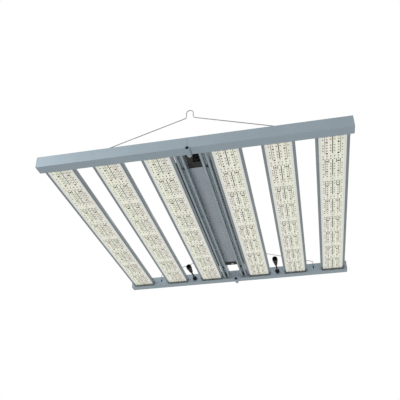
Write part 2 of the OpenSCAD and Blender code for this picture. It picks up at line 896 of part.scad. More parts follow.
// The harness runs along the rear beam, with a lead to the gland and one out to each bar.
module wiring_harness(side) {
    run_y = harness_back;
    run_z = lead_z + 4;
    color("black") at_datum() on_side(side) at_end(true) {
        translate([lead_x - 120, run_y, run_z]) rotate([0, 90, 0])
            cylinder(r = harness_r, h = bar_xs[2] + drop_x - lead_x + 120 + harness_r);
        y_rod(harness_r - 0.5, lead_x, run_y, lead_z + 1, inner_y - run_y - 9.3);
        for (x = bar_xs) translate([x + drop_x, 0, 0]) {
            z_rod(drop_r, 0, run_y, run_z, drop_z - run_z);
            y_rod(drop_r, 0, run_y, drop_z, inner_y + drop_out - run_y);
            z_rod(drop_r, 0, inner_y + drop_out, base_z + base_t + 0.3, drop_z - base_z - base_t - 0.3);
            for (y = [run_y, inner_y + drop_out]) translate([0, y, drop_z]) sphere(r = drop_r);
        }
    }
}

module wiring_harness_left() { wiring_harness(-1); }
module wiring_harness_right() { wiring_harness(1); }

front_beam_left();
front_beam_right();
rear_beam_left();
rear_beam_right();
beam_end_caps_left();
beam_end_caps_right();
hinge_blocks_left();
hinge_blocks_right();
hinge_bolts();
hinge_cap_nuts();
bar_heatsink_1();
bar_heatsink_2();
bar_heatsink_3();
bar_heatsink_4();
bar_heatsink_5();
bar_heatsink_6();
led_boards_1();
led_boards_2();
led_boards_3();
led_boards_4();
led_boards_5();
led_boards_6();
bar_brackets_left();
bar_brackets_right();
bracket_screws_left();
bracket_screws_right();
board_screws_left();
board_screws_right();
rail_left();
rail_right();
rail_end_blocks_left();
rail_end_blocks_right();
rail_end_bolts_left();
rail_end_bolts_right();
driver_housing();
driver_front_cap();
driver_rear_cap();
driver_cap_screws();
driver_fixing_bolts_left();
driver_fixing_bolts_right();
driver_earth_screw();
driver_boards();
driver_transformers();
driver_capacitors();
driver_chokes();
mains_inlet();
dimmer_ports();
front_hanger();
rear_hanger();
lead_gland_left();
lead_gland_right();
lead_cable_left();
lead_cable_right();
lead_connector_left();
lead_connector_right();
coupling_ring_left();
coupling_ring_right();
wiring_harness_left();
wiring_harness_right();
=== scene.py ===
"""Looks for a folding six-bar LED grow light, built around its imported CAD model.

Everything is in metres, in the model's own frame: X across the two halves, Y from the front beam to the
rear beam and Z up, with the LEDs facing down. Lengths that are easier to read in millimetres are written
as 3 * MM.
"""

import math

import bmesh
import bpy
from mathutils import Matrix, Vector


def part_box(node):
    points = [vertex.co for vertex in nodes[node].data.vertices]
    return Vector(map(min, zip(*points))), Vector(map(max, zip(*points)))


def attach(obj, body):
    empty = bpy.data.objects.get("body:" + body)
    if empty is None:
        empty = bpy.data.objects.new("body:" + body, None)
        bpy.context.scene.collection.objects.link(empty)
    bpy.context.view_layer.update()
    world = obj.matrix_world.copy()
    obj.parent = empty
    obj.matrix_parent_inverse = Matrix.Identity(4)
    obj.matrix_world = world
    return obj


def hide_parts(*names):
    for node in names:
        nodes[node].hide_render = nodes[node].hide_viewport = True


MM = 0.001
SIDES = {"left": -1, "right": 1}
ENDS = ("front", "rear")
BARS = range(1, 7)

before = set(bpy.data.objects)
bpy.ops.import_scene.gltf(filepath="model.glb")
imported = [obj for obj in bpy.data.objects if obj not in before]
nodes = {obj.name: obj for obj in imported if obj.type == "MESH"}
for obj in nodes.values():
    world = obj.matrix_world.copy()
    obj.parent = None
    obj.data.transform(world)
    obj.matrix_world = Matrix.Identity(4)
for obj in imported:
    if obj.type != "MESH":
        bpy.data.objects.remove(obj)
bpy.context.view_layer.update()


# ---- Camera and room ----


def make_camera():
    """Looks up at the light from in front and below."""
    lens = bpy.data.cameras.new("camera")
    lens.sensor_width = 36
    lens.lens = 48.62
    camera = bpy.data.objects.new("camera", lens)
    camera.location = (0.3221, -1.9154, -1.0593)
    camera.rotation_euler = [math.radians(a) for a in (121.91, 0.21, 11.76)]
    bpy.context.scene.collection.objects.link(camera)
    bpy.context.scene.camera = camera


def area_light(name, place, target, size, watts, depth=None):
    """A round soft lamp, or a long one where depth gives its second size."""
    lamp = bpy.data.lights.new(name, "AREA")
    lamp.shape = "RECTANGLE" if depth else "DISK"
    lamp.size = size
    if depth:
        lamp.size_y = depth
    lamp.energy = watts
    ob = bpy.data.objects.new(name, lamp)
    ob.location = place
    ob.rotation_euler = (Vector(target) - Vector(place)).to_track_quat("-Z", "Y").to_euler()
    bpy.context.scene.collection.objects.link(ob)


def make_room():
    """White surroundings and soft studio lamps."""
    scene = bpy.context.scene
    scene.view_settings.view_transform = "Standard"
    world = bpy.data.worlds.new("studio")
    scene.world = world
    world.use_nodes = True
    sky = world.node_tree.nodes["Background"]
    sky.inputs["Color"].default_value = (1.0, 1.0, 1.0, 1)
    sky.inputs["Strength"].default_value = 1.0
    area_light("key", (-1.3, -1.65, 0.1), (-0.3, -0.55, 0), 0.7, 18)
    area_light("fill", (0.2, 0.4, -2.4), (0, 0, 0), 2.0, 7)
    area_light("back", (0, 0.38, 0.35), (0, 0.51, 0.02), 0.5, 0.9, 0.1)


# ---- Mesh helpers ----


class Shape:
    """Points and faces gathered for one mesh, with a smoothing flag for each face."""

    def __init__(self):
        self.points, self.faces, self.smooth = [], [], []

    def add(self, points, faces, smooth=False):
        first = len(self.points)
        self.points += [tuple(p) for p in points]
        self.faces += [[first + i for i in face] for face in faces]
        self.smooth += [smooth] * len(faces)

    def box(self, low, high):
        x, y, z = zip(low, high)
        points = [(x[i], y[j], z[k]) for i in (0, 1) for j in (0, 1) for k in (0, 1)]
        faces = [(0, 1, 3, 2), (4, 6, 7, 5), (0, 4, 5, 1), (2, 3, 7, 6), (0, 2, 6, 4), (1, 5, 7, 3)]
        self.add(points, faces)

    def lathe(self, outline, place, sides):
        """Turns (radius, height) points about the Z axis of place. A radius of 0 at an end closes it."""
        rings, points = [], []
        for radius, height in outline:
            if radius == 0:
                rings.append([len(points)] * sides)
                points.append(place @ Vector((0, 0, height)))
                continue
            rings.append([len(points) + k for k in range(sides)])
            for k in range(sides):
                a = math.tau * k / sides
                points.append(place @ Vector((radius * math.cos(a), radius * math.sin(a), height)))
        faces = []
        for low, high in zip(rings, rings[1:]):
            for k in range(sides):
                m = (k + 1) % sides
                corners = [low[k], low[m], high[m], high[k]]
                faces.append([c for n, c in enumerate(corners) if c != corners[n - 1]])
        self.add(points, faces, smooth=True)

    def copy_of(self, mesh, place):
        """Adds a ready mesh, set down at place."""
        first = len(self.points)
        self.points += [tuple(place @ v.co) for v in mesh.vertices]
        for polygon in mesh.polygons:
            self.faces.append([first + i for i in polygon.vertices])
            self.smooth.append(polygon.use_smooth)

    def make(self, name, material, body):
        """The finished piece, in one material, riding on a body."""
        mesh = bpy.data.meshes.new(name)
        mesh.from_pydata(self.points, [], self.faces)
        mesh.polygons.foreach_set("use_smooth", self.smooth)
        mesh.materials.append(material)
        mesh.validate()
        ob = bpy.data.objects.new(name, mesh)
        bpy.context.scene.collection.objects.link(ob)
        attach(ob, body)
        return ob


def facing(place, direction, spin=0.0):
    """A matrix that puts local +Z along direction at place."""
    turn = Vector(direction).to_track_quat("Z", "Y").to_matrix().to_4x4()
    return Matrix.Translation(place) @ turn @ Matrix.Rotation(spin, 4, "Z")


def rounded_path(corners, radius, steps=6):
    """A run through corners with each inner corner turned into an arc of about that radius."""
    corners = [Vector(c) for c in corners]
    path = [corners[0]]
    for before, corner, after in zip(corners, corners[1:], corners[2:]):
        a, b = (before - corner).normalized(), (after - corner).normalized()
        half = a.angle(b) / 2
        # Each arc takes up less than half of the shorter of its two runs.
        shorter = min((before - corner).length, (after - corner).length)
        back = min(radius / math.tan(half), shorter * 0.48)
        start, end = corner + a * back, corner + b * back
        for k in range(steps + 1):
            t = k / steps
            path.append(start * (1 - t) ** 2 + corner * (2 * t * (1 - t)) + end * t**2)
    path.append(corners[-1])
    return path


def tube(shape, path, radius, sides):
    """Sweeps a circle along a path, with both ends slightly rounded over."""
    path = [Vector(p) for p in path]
    tangents = []
    for k, point in enumerate(path):
        ahead = path[min(k + 1, len(path) - 1)] - path[max(k - 1, 0)]
        tangents.append(ahead.normalized())
    across = tangents[0].orthogonal().normalized()
    bulge, narrow = 0.3, 0.6
    rings = [(path[0] - tangents[0] * radius * bulge, narrow, across, tangents[0])]
    for point, tangent in zip(path, tangents):
        across = (across - tangent * across.dot(tangent)).normalized()
        rings.append((point, 1.0, across, tangent))
    rings.append((path[-1] + tangents[-1] * radius * bulge, narrow, across, tangents[-1]))
    points, faces = [], []
    for centre, share, across, tangent in rings:
        up = tangent.cross(across)
        for k in range(sides):
            a = math.tau * k / sides
            points.append(centre + (across * math.cos(a) + up * math.sin(a)) * radius * share)
    for n in range(len(rings) - 1):
        for k in range(sides):
            m = (k + 1) % sides
            faces.append([n * sides + k, n * sides + m, (n + 1) * sides + m, (n + 1) * sides + k])
    last = (len(rings) - 1) * sides
    faces += [list(range(sides - 1, -1, -1)), list(range(last, last + sides))]
    shape.add(points, faces, smooth=True)


def ribbon(shape, line, width):
    """A flat track of that width along a line of (x, y) points on the boards' faces."""
    line = [Vector(p) for p in line]
    points = []
    for k, point in enumerate(line):
        before, after = line[max(k - 1, 0)], line[min(k + 1, len(line) - 1)]
        along = (after - before).normalized()
        side = Vector((-along.y, along.x)) * width / 2
        for edge in (point - side, point + side):
            points += [(edge.x, edge.y, BOARD_FACE), (edge.x, edge.y, BOARD_FACE - TRACK_HEIGHT)]
    faces = [(0, 2, 3, 1)]
    for k in range(len(line) - 1):
        a, b = 4 * k, 4 * (k + 1)
        faces += [(a + 1, a + 3, b + 3, b + 1), (a, a + 1, b + 1, b), (a + 2, b + 2, b + 3, a + 3)]
    end = 4 * (len(line) - 1)
    faces.append((end, end + 1, end + 3, end + 2))
    shape.add(points, faces)


# ---- Materials ----


class Finish:
    """A material being put together: one Principled shader and the nodes that drive it."""

    def __init__(self, name, **sockets):
        self.material = bpy.data.materials.new(name)
        self.material.use_nodes = True
        self.tree = self.material.node_tree
        self.shader = self.tree.nodes["Principled BSDF"]
        self.coords = self.node("ShaderNodeTexCoord").outputs["Object"]
        for socket, value in sockets.items():
            self.shader.inputs[socket.replace("_", " ")].default_value = value

    @classmethod
    def of(cls, material):
        """Takes up a finished material again, to add to it."""
        made = cls.__new__(cls)
        made.material, made.tree = material, material.node_tree
        made.shader = made.tree.nodes["Principled BSDF"]
        coords = next(n for n in made.tree.nodes if n.bl_idname == "ShaderNodeTexCoord")
        made.coords = coords.outputs["Object"]
        return made

    def node(self, kind, **settings):
        made = self.tree.nodes.new(kind)
        for key, value in settings.items():
            setattr(made, key, value)
        return made

    def join(self, source, socket):
        self.tree.links.new(source, socket)

    def noise(self, scale, detail=2.0, stretch=(1, 1, 1)):
        """A noise pattern from 0 to 1, its cells 1 / scale metres across, squeezed by stretch."""
        mapping = self.node("ShaderNodeMapping")
        mapping.inputs["Scale"].default_value = stretch
        self.join(self.coords, mapping.inputs["Vector"])
        made = self.node("ShaderNodeTexNoise")
        made.inputs["Scale"].default_value = scale
        made.inputs["Detail"].default_value = detail
        self.join(mapping.outputs["Vector"], made.inputs["Vector"])
        return made.outputs["Fac"]

    def ramp(self, source, start, end, low=0.0, high=1.0):
        """A number that goes from low to high as the source goes from start to end."""
        made = self.node("ShaderNodeMapRange")
        values = {"From Min": start, "From Max": end, "To Min": low, "To Max": high}
        for socket, value in values.items():
            made.inputs[socket].default_value = value
        self.join(source, made.inputs["Value"])
        return made.outputs["Result"]

    def spread(self, pattern, low, high):
        """A number from low to high as a noise pattern goes over its middle range."""
        return self.ramp(pattern, 0.35, 0.65, low, high)

    def math(self, operation, first, second=0.0):
        """A sum of two sockets or numbers, such as ABSOLUTE, SUBTRACT or LESS_THAN."""
        made = self.node("ShaderNodeMath", operation=operation)
        for socket, value in zip(made.inputs, (first, second)):
            if isinstance(value, (int, float)):
                socket.default_value = value
            else:
                self.join(value, socket)
        return made.outputs[0]

    def blend(self, pattern, first, second, low=0.35, high=0.65):
        """A colour that goes from first to second as the pattern goes from low to high."""
        ramp = self.node("ShaderNodeValToRGB")
        for stop, place, colour in zip(ramp.color_ramp.elements, (low, high), (first, second)):
            stop.position = place
            stop.color = (*colour, 1)
        self.join(pattern, ramp.inputs["Fac"])
        return ramp.outputs["Color"]

    def axes(self, source):
        """The X, Y and Z sockets of a vector."""
        split = self.node("ShaderNodeSeparateXYZ")
        self.join(source, split.inputs[0])
        return split.outputs

    def steepness(self, axis):
        """How far a face looks along an axis, up or down it: 0 to 1."""
        normal = self.node("ShaderNodeTexCoord").outputs["Normal"]
        return self.math("ABSOLUTE", self.axes(normal)[axis])

    def mix(self, share, first, second, blend_type="MIX"):
        """A colour between two, or the product of the two with blend_type MULTIPLY."""
        made = self.node("ShaderNodeMix", data_type="RGBA", blend_type=blend_type)
        for socket, value in zip((made.inputs[0], made.inputs[6], made.inputs[7]), (share, first, second)):
            if isinstance(value, bpy.types.NodeSocket):
                self.join(value, socket)
            elif isinstance(value, (int, float)):
                socket.default_value = value
            else:
                socket.default_value = (*value, 1)
        return made.outputs[2]

    def colour(self, source):
        self.join(source, self.shader.inputs["Base Color"])

    def roughness(self, source):
        self.join(source, self.shader.inputs["Roughness"])

    def bump(self, height, depth):
        made = self.node("ShaderNodeBump")
        made.inputs["Distance"].default_value = depth
        self.join(height, made.inputs["Height"])
        self.join(made.outputs["Normal"], self.shader.inputs["Normal"])


def shade(colour, factor):
    return tuple(min(1.0, c * factor) for c in colour)


def powder_coat(name, colour, metallic=0.35):
    """Fine satin coat: faint clouds of tone, a grain about half a millimetre across, uneven gloss."""
    made = Finish(name, Metallic=metallic)
    clouds = made.noise(14, 4)
    grain = made.noise(1900, 2)
    tone = made.blend(clouds, shade(colour, 0.98), shade(colour, 1.02))
    specks = made.blend(grain, (0.93, 0.93, 0.93), (1.05, 1.05, 1.06))
    made.colour(made.mix(1.0, tone, specks, "MULTIPLY"))
    made.roughness(made.spread(made.noise(60, 3), 0.47, 0.53))
    made.bump(grain, 0.03 * MM)
    return made.material


def drawn_metal(name, colour, metallic=0.75):
    """Extruded metal with hair-thin die lines along Y."""
    made = Finish(name, Metallic=metallic)
    lines = made.noise(1, 3, (900, 6, 900))
    clouds = made.blend(made.noise(9, 3), (0.94, 0.94, 0.94), (1.04, 1.04, 1.04))
    tone = made.blend(lines, shade(colour, 0.9), shade(colour, 1.08))
    made.colour(made.mix(1.0, tone, clouds, "MULTIPLY"))
    made.roughness(made.spread(lines, 0.34, 0.5))
    made.bump(lines, 0.02 * MM)
    return made.material


def groove_metal(name, colour, painted_wall_colour):
    """Drawn metal with painted light on its groove's walls, which are paler in place of the shade in the
    narrow groove, and painted shade on the rail's far outer wall.
    """
    material = drawn_metal(name, colour)
    made = Finish.of(material)
    x, _, z = made.axes(made.coords)
    outward = made.math("SUBTRACT", made.math("ABSOLUTE", x), RAIL_X)
    within = made.math("LESS_THAN", made.math("ABSOLUTE", outward), GROOVE_HALF + 0.3 * MM)
    above_lips = made.math("GREATER_THAN", z, RAIL_LOW + 1 * MM)
    upright = made.math("GREATER_THAN", made.steepness("X"), 0.5)
    in_groove = made.math("MULTIPLY", made.math("MULTIPLY", within, above_lips), upright)
    # Painted light: the groove's walls take a paler colour instead of the shade that falls inside the groove.
    painted_wall_light = made.blend(made.noise(30, 2), shade(painted_wall_colour, 0.95), shade(painted_wall_colour, 1.05))
    coated = made.shader.inputs["Base Color"].links[0].from_socket
    walls = made.mix(in_groove, coated, painted_wall_light)
    # Painted shade: the rail's far outer wall is darkened to stand for the shade in the gap beside the bars.
    far_side = made.math("GREATER_THAN", outward, RAIL_HALF - 0.3 * MM)
    dust_and_painted_shade = made.blend(made.noise(40, 3), (0.49, 0.51, 0.535), (0.6, 0.625, 0.65))
    made.colour(made.mix(far_side, walls, made.mix(1.0, walls, dust_and_painted_shade, "MULTIPLY")))
    return material


def worn_edge(name, coat, bare, metallic=0.5):
    """The broken edges of a coated part: mostly coat, rubbed through to what is under it in small patches."""
    made = Finish(name, Metallic=metallic)
    rubs = made.noise(160, 4)
    made.colour(made.blend(rubs, shade(coat, 1.06), bare, 0.5, 0.66))
    made.roughness(made.spread(made.noise(500, 2), 0.3, 0.48))
    made.bump(rubs, 0.04 * MM)
    return made.material


def moulded_plastic(name, colour, rough=0.55, gloss=0.2):
    """Spark-eroded mould texture: a matt grain with soft flow marks."""
    made = Finish(name, Specular_IOR_Level=gloss)
    grain = made.noise(1400, 3)
    flow = made.noise(22, 3)
    made.colour(made.blend(flow, shade(colour, 0.85), shade(colour, 1.2)))
    made.roughness(made.spread(grain, rough - 0.08, rough + 0.1))
    made.bump(grain, 0.05 * MM)
    return made.material


def rubber(name, colour):
    """A matt cable jacket with dust on it."""
    made = Finish(name)
    dust_and_painted_shade = made.noise(180, 4)
    made.colour(made.blend(dust_and_painted_shade, colour, shade(colour, 1.6), 0.45, 0.8))
    made.roughness(made.spread(made.noise(60, 2), 0.5, 0.68))
    made.bump(made.noise(900, 2), 0.02 * MM)
    return made.material


def turned_metal(name, colour, low=0.22, high=0.38):
    """Plated steel of screws and wire: small blotches in the plating and a fine tumbled grain."""
    made = Finish(name, Metallic=0.95)
    blotches = made.noise(420, 3)
    made.colour(made.blend(blotches, shade(colour, 0.82), shade(colour, 1.1)))
    made.roughness(made.spread(made.noise(900, 2), low, high))
    made.bump(made.noise(2600, 2), 0.01 * MM)
    return made.material


def board_mask():
    """White solder mask on an aluminium core.

    It is greyer over the copper under each LED column and at the margins, and slightly pink on the half of a
    board towards the middle of the light.
    """
    made = Finish("board_mask")
    x = made.axes(made.coords)["X"]
    from_first = made.math("SUBTRACT", made.math("ABSOLUTE", x), FIRST_BAR_X - BAR_PITCH / 2)
    across = made.math("SUBTRACT", made.math("MODULO", from_first, BAR_PITCH), BAR_PITCH / 2)
    columns = made.math("DIVIDE", made.math("ABSOLUTE", across), COLUMN_PITCH)
    to_gap = made.math("PINGPONG", columns, 0.5)
    speckle = made.noise(30, 3)
    copper = made.blend(speckle, (0.74, 0.75, 0.65), (0.78, 0.79, 0.69))
    bare = made.blend(speckle, (0.845, 0.84, 0.74), (0.875, 0.87, 0.77))
    margin = made.blend(speckle, (0.65, 0.67, 0.645), (0.68, 0.70, 0.675))
    off_middle = made.math("GREATER_THAN", columns, 0.5)
    gap = made.math("MULTIPLY", made.math("LESS_THAN", to_gap, 0.11), off_middle)
    outer_half = made.math("GREATER_THAN", across)
    tint = made.mix(outer_half, (1.0, 0.975, 0.985), (1.0, 1.0, 0.975))
    mask = made.mix(1.0, made.mix(gap, copper, bare), tint, "MULTIPLY")
    mask = made.mix(made.ramp(columns, 2.86, 3.02), mask, margin)
    side = made.math("LESS_THAN", made.steepness("Z"), 0.5)
    core = made.blend(made.noise(1, 2, (200, 200, 2500)), (0.30, 0.31, 0.31), (0.42, 0.43, 0.43))
    made.colour(made.mix(side, mask, core))
    made.roughness(made.spread(made.noise(240, 3), 0.36, 0.5))
    made.bump(made.noise(700, 2), 0.015 * MM)
    return made.material


def spotted(name, first, second, scale, rough, **sockets):
    """A small part's finish: two close tones in spots, with its own roughness and grain."""
    made = Finish(name, **sockets)
    made.colour(made.blend(made.noise(scale, 3), first, second))
    made.roughness(made.spread(made.noise(scale * 2, 2), rough - 0.06, rough + 0.08))
    made.bump(made.noise(scale * 3, 2), 0.02 * MM)
    return made.material


def circuit_green():
    """The driver's inner boards: green mask with copper tracks showing through."""
    made = Finish("circuit_green")
    tracks = made.node("ShaderNodeTexBrick")
    tracks.inputs["Scale"].default_value = 90
    tracks.inputs["Color1"].default_value = (0.02, 0.11, 0.05, 1)
    tracks.inputs["Color2"].default_value = (0.03, 0.15, 0.06, 1)
    tracks.inputs["Mortar"].default_value = (0.06, 0.24, 0.09, 1)
    made.join(made.coords, tracks.inputs["Vector"])
    made.colour(tracks.outputs["Color"])
    made.roughness(made.spread(made.noise(300, 2), 0.3, 0.42))
    made.bump(made.noise(900, 2), 0.02 * MM)
    return made.material


# ---- Sizes of the boards and rails ----

board_low, board_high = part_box("led_boards_4")
BOARD_FACE = board_low.z
FIRST_BAR_X = (board_low.x + board_high.x) / 2
next_low, next_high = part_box("led_boards_5")
BAR_PITCH = (next_low.x + next_high.x) / 2 - FIRST_BAR_X
BOARDS = 4
# How much shorter the first and the last board of a bar are than the middle ones
BOARD_TRIM = 6.3 * MM
BOARDS_START = board_low.y - BOARD_TRIM
BOARD_PITCH = (board_high.y - board_low.y + 2 * BOARD_TRIM) / BOARDS
ROWS, COLUMNS = 16, 6
ROW_PITCH, COLUMN_PITCH = 15.2 * MM, 12.6 * MM
RED_ROWS, RED_COLUMNS = (2, 6, 9, 13), (1, 4)
FIRST_ROW = (BOARD_PITCH - (ROWS - 1) * ROW_PITCH) / 2
TRACK_HEIGHT = 0.08 * MM
# Tracks between the LED columns of a board: (column pitches from its middle, width)
TRACKS = {
    "left": ((-1, 1.6 * MM), (0, 2.3 * MM), (1, 1.0 * MM), (2, 1.7 * MM)),
    "right": ((-2, 1.6 * MM), (0, 2.7 * MM), (2, 1.6 * MM)),
}
# The rows that a board's long tracks run between, and the short ones beside its red LEDs
LONG_ROWS, SHORT_ROWS = ((-0.1, 5.95), (8.3, 14.7)), (8.2, 9.6)
SHORT_WIDTH, LOOP_WIDTH = 2.2 * MM, 1.9 * MM
rail_low, rail_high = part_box("rail_right")
RAIL_X = (rail_low.x + rail_high.x) / 2
RAIL_HALF = (rail_high.x - rail_low.x) / 2
RAIL_LOW = rail_low.z
end_block_low, end_block_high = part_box("rail_end_blocks_right")
GROOVE_HALF = (end_block_high.x - end_block_low.x) / 2


def bar_side(number):
    return "left" if number <= len(BARS) // 2 else "right"


def bar_middle(number):
    low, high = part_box(f"led_boards_{number}")
    return (low.x + high.x) / 2


def row_y(board, row):
    return BOARDS_START + board * BOARD_PITCH + FIRST_ROW + row * ROW_PITCH


def column_x(middle, column):
    return middle + (column - (COLUMNS - 1) / 2) * COLUMN_PITCH


# ---- Finishes ----

FRAME_GREY = (0.235, 0.288, 0.325)
CAP_GREY = (0.215, 0.262, 0.295)
BAR_GREY = (0.205, 0.235, 0.25)
RAIL_GREY = (0.25, 0.297, 0.323)
DRIVER_GREY = (0.275, 0.315, 0.35)
BRACKET_GREY = (0.10, 0.115, 0.115)
BARE_METAL = (0.40, 0.43, 0.45)

frame_coat = powder_coat("frame_coat", FRAME_GREY)
cap_coat = powder_coat("cap_coat", CAP_GREY, metallic=0.1)
bar_metal = drawn_metal("bar_metal", BAR_GREY)
# The colour given here for the groove's walls is painted light.
rail_metal = groove_metal("rail_metal", RAIL_GREY, painted_wall_colour=(0.50, 0.58, 0.62))
driver_metal = drawn_metal("driver_metal", DRIVER_GREY, metallic=0.6)
bracket_coat = powder_coat("bracket_coat", BRACKET_GREY, metallic=0.3)
black_plastic = moulded_plastic("black_plastic", (0.0185, 0.018, 0.017))
inlet_plastic = moulded_plastic("inlet_plastic", (0.010, 0.011, 0.012), 0.42)
lead_plastic = moulded_plastic("lead_plastic", (0.010, 0.0095, 0.0095), 0.55)
gland_plastic = moulded_plastic("gland_plastic", (0.0035, 0.0045, 0.0055), 0.5, 0.1)
# Painted shade: near-black matt sheets that stand for the shade inside recesses.
painted_shade_black = moulded_plastic("painted_shade_black", (0.005, 0.005, 0.005), 0.9)
cable_rubber = rubber("cable_rubber", (0.012, 0.012, 0.013))
wire_zinc = turned_metal("wire_zinc", (0.30, 0.295, 0.29))
bright_zinc = turned_metal("bright_zinc", (0.93, 0.93, 0.91), 0.4, 0.5)
nut_zinc = turned_metal("nut_zinc", (0.36, 0.37, 0.39))
black_oxide = turned_metal("black_oxide", (0.085, 0.095, 0.11), 0.36, 0.52)
bolt_grey = turned_metal("bolt_grey", (0.20, 0.22, 0.235), 0.36, 0.52)
hinge_black = turned_metal("hinge_black", (0.012, 0.015, 0.018), 0.36, 0.52)
steel_screw = turned_metal("steel_screw", (0.52, 0.52, 0.49))
brass = turned_metal("brass", (0.30, 0.22, 0.10))
mask_white = board_mask()
cool_frame = spotted("cool_frame", (0.20, 0.205, 0.12), (0.26, 0.26, 0.16), 60, 0.4)
cool_phosphor = spotted("cool_phosphor", (0.15, 0.155, 0.025), (0.20, 0.20, 0.04), 90, 0.5)
warm_frame = spotted("warm_frame", (0.11, 0.10, 0.065), (0.15, 0.135, 0.09), 60, 0.4)
warm_phosphor = spotted("warm_phosphor", (0.07, 0.05, 0.012), (0.10, 0.07, 0.018), 90, 0.5)
deep_red_frame = spotted("deep_red_frame", (0.045, 0.008, 0.010), (0.06, 0.012, 0.014), 60, 0.45,
                         Specular_IOR_Level=0.15)
deep_red_lens = spotted("deep_red_lens", (0.075, 0.002, 0.006), (0.10, 0.003, 0.009), 90, 0.3,
                        Specular_IOR_Level=0.2)
far_red_frame = spotted("far_red_frame", (0.012, 0.008, 0.008), (0.018, 0.012, 0.012), 60, 0.45,
                        Specular_IOR_Level=0.15)
far_red_lens = spotted("far_red_lens", (0.012, 0.003, 0.004), (0.018, 0.004, 0.006), 90, 0.3,
                       Specular_IOR_Level=0.2)
track_olive = spotted("track_olive", (0.018, 0.019, 0.013), (0.027, 0.028, 0.02), 200, 0.5,
                      Specular_IOR_Level=0.25)
track_brown = spotted("track_brown", (0.085, 0.066, 0.045), (0.115, 0.088, 0.062), 200, 0.5)
board_green = circuit_green()
tape_yellow = spotted("tape_yellow", (0.62, 0.42, 0.05), (0.72, 0.50, 0.08), 160, 0.45)
sleeve_blue = spotted("sleeve_blue", (0.02, 0.03, 0.09), (0.03, 0.045, 0.13), 160, 0.35)
copper_wind = spotted("copper_wind", (0.42, 0.16, 0.06), (0.55, 0.22, 0.09), 500, 0.35, Metallic=0.8)
# What each coat looks like along its broken edges
EDGES = {
    frame_coat: worn_edge("frame_coat_edge", FRAME_GREY, BARE_METAL),
    cap_coat: worn_edge("cap_coat_edge", CAP_GREY, (0.10, 0.11, 0.12), 0.1),
    bar_metal: worn_edge("bar_metal_edge", BAR_GREY, BARE_METAL, 0.75),
    rail_metal: worn_edge("rail_metal_edge", RAIL_GREY, BARE_METAL, 0.75),
    driver_metal: worn_edge("driver_metal_edge", DRIVER_GREY, BARE_METAL, 0.6),
    bracket_coat: worn_edge("bracket_coat_edge", BRACKET_GREY, (0.26, 0.27, 0.28), 0.3),
    black_plastic: worn_edge("black_plastic_edge", (0.019, 0.0185, 0.0175), (0.045, 0.044, 0.042), 0.0),
}


def finish_node(name, material, width=0.0):
    """Gives a CAD node its finish and, with a width, breaks its sharp edges by that much."""
    ob = nodes[name]
    ob.data.materials.clear()
    ob.data.materials.append(material)
    if width:
        weld = ob.modifiers.new("weld", "WELD")
        weld.merge_threshold = 0.002 * MM
        flat = ob.modifiers.new("flat", "DECIMATE")
        flat.decimate_type = "DISSOLVE"
        flat.angle_limit = math.radians(0.5)
        bevel = ob.modifiers.new("bevel", "BEVEL")
        bevel.width = width
        bevel.segments = 2
        bevel.limit_method = "ANGLE"
        bevel.angle_limit = math.radians(35)
        if material in EDGES:
            ob.data.materials.append(EDGES[material])
            bevel.material = 1
        ob.modifiers.new("normals", "WEIGHTED_NORMAL")


def finish_nodes():
    for side in SIDES:
        for end in ENDS:
            finish_node(f"{end}_beam_{side}", frame_coat, 0.7 * MM)
        finish_node(f"beam_end_caps_{side}", cap_coat, 0.5 * MM)
        finish_node(f"hinge_blocks_{side}", frame_coat, 0.4 * MM)
        finish_node(f"bar_brackets_{side}", bracket_coat, 0.2 * MM)
        finish_node(f"bracket_screws_{side}", black_oxide)
        finish_node(f"board_screws_{side}", steel_screw)
        finish_node(f"rail_{side}", rail_metal, 0.35 * MM)
        finish_node(f"rail_end_blocks_{side}", bracket_coat, 0.3 * MM)
        finish_node(f"rail_end_bolts_{side}", bolt_grey, 0.3 * MM)
        finish_node(f"driver_fixing_bolts_{side}", black_oxide, 0.3 * MM)
        finish_node(f"lead_gland_{side}", gland_plastic, 0.4 * MM)
        finish_node(f"lead_connector_{side}", lead_plastic, 0.2 * MM)
        finish_node(f"coupling_ring_{side}", lead_plastic, 0.2 * MM)
        finish_node(f"lead_cable_{side}", cable_rubber)
        finish_node(f"wiring_harness_{side}", cable_rubber)
    for number in BARS:
        finish_node(f"bar_heatsink_{number}", bar_metal, 0.25 * MM)
        finish_node(f"led_boards_{number}", mask_white)
    finish_node("hinge_bolts", hinge_black, 0.3 * MM)
    finish_node("hinge_cap_nuts", nut_zinc)
    finish_node("driver_cap_screws", black_oxide)
    finish_node("driver_earth_screw", bright_zinc)
    for end in ENDS:
        finish_node(f"{end}_hanger", wire_zinc)
    finish_node("driver_housing", driver_metal, 0.3 * MM)
    finish_node("driver_front_cap", black_plastic, 0.5 * MM)
    finish_node("driver_rear_cap", black_plastic, 0.5 * MM)
    finish_node("mains_inlet", inlet_plastic, 0.3 * MM)
    finish_node("dimmer_ports", inlet_plastic, 0.5 * MM)
    finish_node("driver_boards", board_green)
    finish_node("driver_transformers", tape_yellow, 0.5 * MM)
    finish_node("driver_capacitors", sleeve_blue, 0.5 * MM)
    finish_node("driver_chokes", copper_wind, 0.8 * MM)


# ---- Connector leads ----

LEAD_X = 0.2035
LEAD_Z = 0.026
LEAD_START_Y = 0.4915
# Millimetres along the cable from its gland
LEAD_STATIONS = (0, 15, 30, 45, 60)
LEAD_DIAMETER = 8 * MM
GLAND_LENGTH = 18 * MM
BOOT_LENGTH, BOOT_NARROW, BOOT_WIDE = 24 * MM, 5.4 * MM, 8.4 * MM
CONTACT_CIRCLE = 4 * MM


